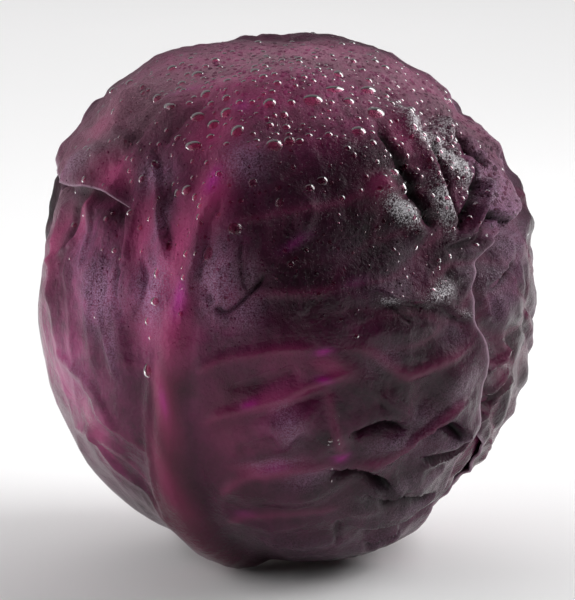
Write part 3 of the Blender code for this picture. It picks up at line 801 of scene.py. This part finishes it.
def add_node(tree, kind, inputs=(), out=0, **settings):
    """Adds a node of a kind, with its operation after a space, and gives one of its outputs."""
    kind, *operation = kind.split()
    node = tree.nodes.new("ShaderNode" + kind)
    for name, value in [*settings.items(), *(("operation", name) for name in operation)]:
        setattr(node, name, value)
    connect(node, inputs)
    return node.outputs[out]


def coated(add, under, coats):
    """Lays coats over a colour: each is a colour, then the factors of how much of it shows."""
    for over, share, *factors in coats:
        for factor in factors:
            share = add("Math MULTIPLY", (share, factor))
        under = add("Mix", {0: share, 6: under, 7: over}, 2, data_type="RGBA")
    return under


def new_material(name):
    """A material, its Principled shader, and the way to add nodes to it."""
    material = bpy.data.materials.new(name)
    material.use_nodes = True
    tree = material.node_tree
    return material, tree.nodes["Principled BSDF"], partial(add_node, tree)


def leaf_skin():
    """Red cabbage leaf: a dark purple blade under wax, glossy where wet, matt and grey where waxed, with
    painted shade in its creases and recesses and painted highlights, glints and sheen.
    """
    material, shader, add = new_material("red cabbage leaf skin")
    place = add("TexCoord", out="Object")
    upright = add("VectorMath MULTIPLY", (place, (1, 1, 0.4)))
    height = add("SeparateXYZ", (place,), "Z")
    rugged = add("MapRange", (height, 66 * MM, 100 * MM, 0.2, 1))  # smoother on the head's lower half
    mark = {
        name: add("Attribute", out="Fac", attribute_name=name)
        for name in (*PATCHES, "rib", "vein", "sunk", "margin")
    }
    patches, clouds, mottle, fibres, skin, grain = (
        add("TexNoise", {"Vector": where, "Scale": 1 / (size * MM), "Detail": fine, "Roughness": rough})
        for where, size, fine, rough in (
            # how the place is stretched, size in millimetres, detail and roughness
            (place, 25, 4, 0.5), (place, 10.526, 5, 0.6), (place, 3.846, 6, 0.65),
            (upright, 2.381, 4, 0.6), (place, 1.25, 3, 0.5), (place, 0.4545, 2, 0.5),
        )
    )  # fmt: skip
    net = add("TexVoronoi", {"Vector": place, "Scale": 1 / (4.348 * MM)}, feature="DISTANCE_TO_EDGE")

    # beads of mist: their spacing, half-width where wettest, and the share of it left where dry
    beads = []
    for spacing, widest, left in ((1.852, 0.62, 0.1), (0.7143, 0.6, 0.5)):
        near = add("TexVoronoi", {"Vector": place, "Scale": 1 / (spacing * MM)})
        reach = add("Math MULTIPLY_ADD", (mark["wet"], (1 - left) * widest, left * widest))
        reach = add("Math MULTIPLY", (near.node.outputs["Color"], reach))
        share = add("Math DIVIDE", (near, reach))
        inside = add("Math SUBTRACT", (1.0, share), use_clamp=True)
        beads.append(add("Math POWER", (inside, 0.5)))
    beaded = add("Math GREATER_THAN", (beads[0], 0.0))
    pores = add("Math GREATER_THAN", (beads[1], 0.3))
    # painted glints: a pale speck in the middle of the smallest beads where the leaf is wet
    painted_glints = add("Math GREATER_THAN", (beads[1], 0.83))

    # wax lies as dust between the beads, and stands up as crystals where it is thick; the white crystals are
    # partly painted glints
    wetted = add("Math MULTIPLY", (beaded, 0.85))
    pitted = add("Math MULTIPLY", (pores, 0.6))
    cleared = add("Math MAXIMUM", (wetted, pitted))
    dry = add("Math SUBTRACT", (1.0, cleared))
    dust = add("MapRange", (grain, 0.37, 0.63))
    film = add("Math MULTIPLY_ADD", (dust, 0.55, 0.25))
    thick = add("Math MULTIPLY_ADD", (mark["frost"], 0.4, grain))
    crystals = add("MapRange", (thick, 0.68, 0.96))
    # the wax veil is greyer under painted shade
    wax = coated(add, "#a0779c", [("#7c6d76", mark["deep"])])
    coats = (
        ("#5c1a42", add("MapRange", (patches, 0.35, 0.65))),
        # lighter tone, partly painted light
        ("#ba4c86", mark["ripe"]),
        # painted shade, and darker tone
        ("#12090d", mark["deep"]),
        ("#200a14", add("MapRange", (clouds, 0.4, 0.7, 0, 0.75))),
        ("#1c0713", mottle, 0.55),
        ("#22091a", add("MapRange", (fibres, 0.42, 0.66, 0, 0.65)), rugged),
        ("#5e2145", add("MapRange", (net, 0, 0.12, 0.1, 0))),
        # pink, partly painted highlight
        ("#b03a72", mark["flush"], 0.85),
        ("#7c2c52", mark["vein"], 0.45),
        ("#64213a", mark["rib"], 0.6),
        # magenta on the veins, partly painted glint
        ("#b01a90", mark["magenta"], 0.7),
        # mist film, partly painted sheen
        ("#a8808f", mark["haze"], dry, film),
        # wax veil, partly painted highlight
        (wax, mark["bloom"], dry, dust, 0.9),
        ("#1c0a13", mark["frost"], 0.6),
        # white wax crystals, partly painted glints
        ("#f4f0f5", crystals, dry, mark["frost"]),
        ("#c39fb0", painted_glints, mark["wet"], 0.6),
        # painted shade in grooves and creases
        ("#070304", mark["sunk"]),
        ("#a08295", mark["margin"], 0.8),
    )
    blade = coated(add, "#3f0f2c", coats)

    rough = add("Math MULTIPLY_ADD", (mark["bloom"], 0.16, 0.3))
    worn = add("Math MULTIPLY_ADD", (rugged, 0.25, 0.75))
    rough = add("Math MULTIPLY", (rough, worn))
    rough = add("Math MULTIPLY_ADD", (mark["sunk"], 0.3, rough))
    unwetted = add("Math MULTIPLY_ADD", (beaded, -0.6, 1.0))
    rough = add("Math MULTIPLY", (rough, unwetted))

    small = add("Math MULTIPLY", (beads[1], 0.4))
    bead = add("Math MAXIMUM", (beads[0], small))
    coarse = add("Math ADD", (mottle, fibres))
    coarse = add("Math MULTIPLY", (rugged, coarse))
    relief = 0.0
    for pattern, strength in ((bead, 0.5), (grain, 0.14), (skin, 0.35), (mottle, 0.1), (coarse, 0.85)):
        relief = add("Math MULTIPLY_ADD", (pattern, strength, relief))
    bump = add("Bump", {"Height": relief, "Strength": 0.9, "Distance": 0.75 * MM})
    connect(shader, {"Base Color": blade, "Roughness": rough, "IOR": 1.38, "Normal": bump})
    return material


def inner_leaf_skin():
    """Inner leaves, pressed tight and dry: pale violet between fine white veins, satin."""
    material, shader, add = new_material("inner leaf skin")
    place = add("TexCoord", out="Object")
    mottle = add("TexNoise", {"Vector": place, "Scale": 1 / (11.11 * MM), "Detail": 5})
    net = add("TexVoronoi", {"Vector": place, "Scale": 1 / (8.333 * MM)}, feature="DISTANCE_TO_EDGE")
    veins = add("MapRange", (net, 0.0, 0.08, 0.6, 0.0))
    blade = coated(add, "#4a2142", (("#6d3a66", mottle), ("#b79ab8", veins)))
    bump = add("Bump", {"Height": veins, "Strength": 0.4, "Distance": 0.5 * MM})
    connect(shader, {"Base Color": blade, "Roughness": 0.42, "IOR": 1.45, "Normal": bump})
    return material


def cut_stem_flesh():
    """Fresh-cut stem: pale greenish-white pith with a ring of fibre bundles and a browned rim."""
    material, shader, add = new_material("cut cabbage stem")
    place = add("TexCoord", out="Object")
    flat = add("VectorMath MULTIPLY", (place, (1, 1, 0)))
    reach = add("VectorMath LENGTH", (flat,), "Value")
    fibres = add("TexVoronoi", {"Vector": place, "Scale": 1 / (1.4286 * MM)})
    blotches = add("TexNoise", {"Vector": place, "Scale": 1 / (4.545 * MM), "Detail": 4})
    bundles = add("MapRange", (fibres, 0.15, 0.4, 0.42, 0.004))
    rim = add("MapRange", (reach, 9.5 * MM, 13.5 * MM))
    flesh = coated(add, "#cfc9a8", (("#e4dfc6", blotches), ("#b9b48c", bundles), ("#8a6f5e", rim)))
    bump = add("Bump", {"Height": bundles, "Strength": 0.5, "Distance": 0.4 * MM})
    connect(shader, {"Base Color": flesh, "Roughness": 0.55, "IOR": 1.4, "Normal": bump})
    return material


def clear_water():
    """Clean water in beads: clear, with a sharp glint, showing the leaf under it through a pink tint, a
    painted shade that darkens the beads since they cast no shadow.
    """
    material, shader, _ = new_material("clear water")
    connect(shader, {"Base Color": "#cf8aa2", "Roughness": 0.06, "IOR": 1.333})
    connect(shader, {"Transmission Weight": 1.0, "Specular IOR Level": 0.2})
    return material


# ---- water

# Large drops: azimuth, elevation, width and height in millimetres.
LARGE_DROPS = (
    (9, 55, 5.6, 4.2), (19, 58.5, 6.6, 3.4), (34, 58, 4.8, 3.2), (23, 55, 3.4, 3.2), (30.5, 51, 5.8, 4.6),
    (-15, 46, 3.8, 4.6), (-30, 49.5, 4.8, 3.8), (-3.5, 43, 4.6, 4), (-18, 19, 3.4, 4.6), (-12, 24.5, 4, 3.6),
    (-27, 42, 5, 3), (5.5, 33.5, 2.8, 2.8), (-30.5, 14, 2.2, 3.2), (-29.5, 8, 2.8, 2.4), (-32, 3.5, 2, 2.4),
    (-32, -7.5, 3, 3.8), (29.5, 36.5, 3.2, 3.2), (-28, 20, 2, 3.2), (-40, 50, 4.4, 2.2),
)  # fmt: skip
# Regions of small drops: how many, middle azimuth and elevation, spread of each, usual width.
SMALL_DROPS = (
    (80, -4, 56, 34, 8, 2.3), (60, -20, 34, 22, 9, 1.6), (300, -2, 60, 36, 9, 1.5),
    (300, 0, 54, 34, 10, 1.0), (80, 10, 40, 26, 9, 1.2), (90, 43, 40, 6, 8, 1.3),
    (70, 50, 34, 4, 7, 1.1), (34, 29, 28, 4, 4, 1.1), (120, 20, 22, 16, 10, 0.9),
    (90, -30, 34, 16, 10, 1.0), (24, -22, 26, 8, 12, 1.2), (30, -52, 40, 10, 10, 1.1),
    (10, 10.5, -18, 0.8, 6, 0.9), (150, 130, 55, 60, 14, 1.3), (60, 165, 30, 50, 14, 1.1),
)  # fmt: skip
DROP_GAP = 0.3
LARGE = 1.9  # a drop wider than this is deep and sags
SMALL = 1.2  # one narrower than this has the fewest faces


def drop_places():
    """Where the drops sit, as rays, with each one's width and height in millimetres."""
    rng = np.random.default_rng(7)
    places = [unit(azimuth, elevation) for azimuth, elevation, _, _ in LARGE_DROPS]
    sizes = [(wide, tall) for _, _, wide, tall in LARGE_DROPS]
    for count, azimuth, elevation, wide, tall, usual in SMALL_DROPS:
        for _ in range(count):
            size = usual * np.exp(rng.normal(0, 0.36))
            place = unit(azimuth + rng.normal(0, wide), min(elevation + rng.normal(0, tall), 89))
            gaps = apart(np.array(places), place) * DEGREE - (np.array(sizes)[:, 0] + size) / 2
            if gaps.min() > DROP_GAP:
                places.append(place)
                sizes.append((size, size * rng.uniform(0.9, 1.15)))
    return zip(places, sizes)


def bead(segments, rings, steep):
    """The cap of a ball of water, 1 in radius and 1 high above the leaf, closed just inside the leaf."""
    bm = bmesh.new()
    bmesh.ops.create_uvsphere(bm, u_segments=segments, v_segments=rings, radius=1)
    steep = np.radians(steep)
    bmesh.ops.translate(bm, vec=(0, 0, -np.cos(steep)), verts=bm.verts)
    bmesh.ops.scale(bm, vec=(1 / np.sin(steep), 1 / np.sin(steep), 1 / (1 - np.cos(steep))), verts=bm.verts)
    whole = bm.verts[:] + bm.edges[:] + bm.faces[:]
    bmesh.ops.bisect_plane(bm, geom=whole, plane_co=(0, 0, -0.4), plane_no=(0, 0, 1), clear_inner=True)
    bmesh.ops.holes_fill(bm, edges=[edge for edge in bm.edges if edge.is_boundary])
    return finished("bead", bm)


def make_drops(sheets):
    """Beads of water that stand on the leaves, each a little heavier on its lower side."""
    corners, faces = [], []
    for sheet in (made.data for made in sheets):
        faces += [[len(corners) + corner for corner in face.vertices] for face in sheet.polygons]
        corners += [vertex.co for vertex in sheet.vertices]
    leaves = BVHTree.FromPolygons(corners, faces)
    drops = bmesh.new()
    fine, plain, tiny = bead(24, 28, 46), bead(14, 26, 31), bead(8, 18, 28)
    down = Vector((0, 0, -1))
    for place, (wide, tall) in drop_places():
        aim = Vector(place)
        hit, normal, _, _ = leaves.ray_cast(MIDDLE + aim * 0.14, -aim)
        if hit is None:
            continue
        if normal.dot(aim) < 0:
            normal = -normal
        slope = (down - normal * down.dot(normal)).normalized()
        side = normal.cross(slope)
        large = wide > LARGE
        height = min(wide, tall) * (0.21 if large else 0.14)
        sag = 0.22 * (1 - abs(normal.z)) if large else 0.1
        lean = normal * height + slope * (sag * tall / 2)
        seat = Matrix((side * (wide / 2), slope * (tall / 2), lean)).transposed() * MM
        one = (fine if large else plain if wide > SMALL else tiny).copy()
        one.transform(Matrix.Translation(hit - normal * 0.03 * MM) @ seat.to_4x4())
        drops.from_mesh(one)
        bpy.data.meshes.remove(one)
    made = piece(finished("water_drops", drops), clear_water())
    made.visible_shadow = False


# ---- making it all


def make_leaves(material):
    sheets = []
    finer = 1
    for leaf in LEAVES:
        count = {1: 215, 2: 150, 3: 130}.get(leaf.number, 100)
        made = piece(leaf_sheet(leaf, count // finer), material, 0.9)
        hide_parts(f"wrapper_leaf_{leaf.number}")
        sheets.append(made)
    sheets.append(piece(torn_lobe_sheet(110 // finer, 24 // finer), material, 0.8))
    return sheets


def make_room():
    """A white room that is dim behind the camera, and a pale matt floor that is greyer in front."""
    world = bpy.data.worlds.new("studio")
    bpy.context.scene.world = world
    world.use_nodes = True
    add = partial(add_node, world.node_tree)
    heading = add("TexCoord", out="Generated")
    towards = add("VectorMath DOT_PRODUCT", (heading, tuple(unit(18, 24))), "Value")
    shade = add("MapRange", (towards, -0.7, 0.6, 0.22, 0.004), interpolation_type="SMOOTHSTEP")
    connect(world.node_tree.nodes["Background"], {"Color": "#f6eaf0", "Strength": shade})

    material, shader, add = new_material("matt white floor paint")
    depth = add("SeparateXYZ", (add("TexCoord", out="Object"),), "Y")
    back = add("MapRange", (depth, -0.6, 0.1), interpolation_type="SMOOTHSTEP")
    connect(shader, {"Base Color": coated(add, "#d6d6d6", [("#f4f4f4", back)]), "Roughness": 0.9})
    bm = bmesh.new()
    bmesh.ops.create_circle(bm, cap_ends=True, segments=64, radius=9)
    floor = placed("floor", finished("floor", bm))
    floor.data.materials.append(material)
    floor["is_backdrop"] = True


def make_lights():
    """Two softboxes at the head's sides, each with a lamp for its glints, and a light for the backdrop."""
    for name, power, size, azimuth, elevation in (
        ("key softbox", 11, (1.1, 1.1), -80, 16),
        ("key glow", 5.5, (1.1, 1.1), -80, 16),
        ("right softbox", 10, (0.7, 0.7), 97, 36),
        ("right glow", 4, (1.0, 1.0), 95, 37),
        ("background light", 37, (3.4, 3.2), 180, 90),
    ):
        light = bpy.data.lights.new(name, "AREA")
        light.energy = power
        light.shape = "RECTANGLE"
        light.size, light.size_y = size
        lamp = placed(name, light)
        lamp.visible_camera = False
        lamp.visible_diffuse = not name.endswith("glow")
        lamp.visible_glossy = not lamp.visible_diffuse
        if name == "background light":
            lamp.location = (0, 1.9, 0.9)
            lamp.visible_transmission = False
        else:
            aim = Vector(unit(azimuth, elevation))
            lamp.location = MIDDLE + aim
            lamp.rotation_euler = aim.to_track_quat("Z", "Y").to_euler()


def make_camera():
    camera = bpy.data.cameras.new("camera")
    camera.lens = 187.5
    camera.clip_start = 0.05
    made = placed("camera", camera)
    aim = Vector(unit(0, 10))
    made.location = MIDDLE + Vector((0, 0, -0.6 * MM)) + aim
    made.rotation_euler = aim.to_track_quat("Z", "Y").to_euler()
    bpy.context.scene.camera = made


bpy.context.scene.view_settings.view_transform = "Standard"
make_drops(make_leaves(leaf_skin()))
for node, material in (("inner_head", inner_leaf_skin()), ("cut_stem", cut_stem_flesh())):
    bpy.data.objects[node].data.materials.clear()
    bpy.data.objects[node].data.materials.append(material)
make_room()
make_lights()
make_camera()
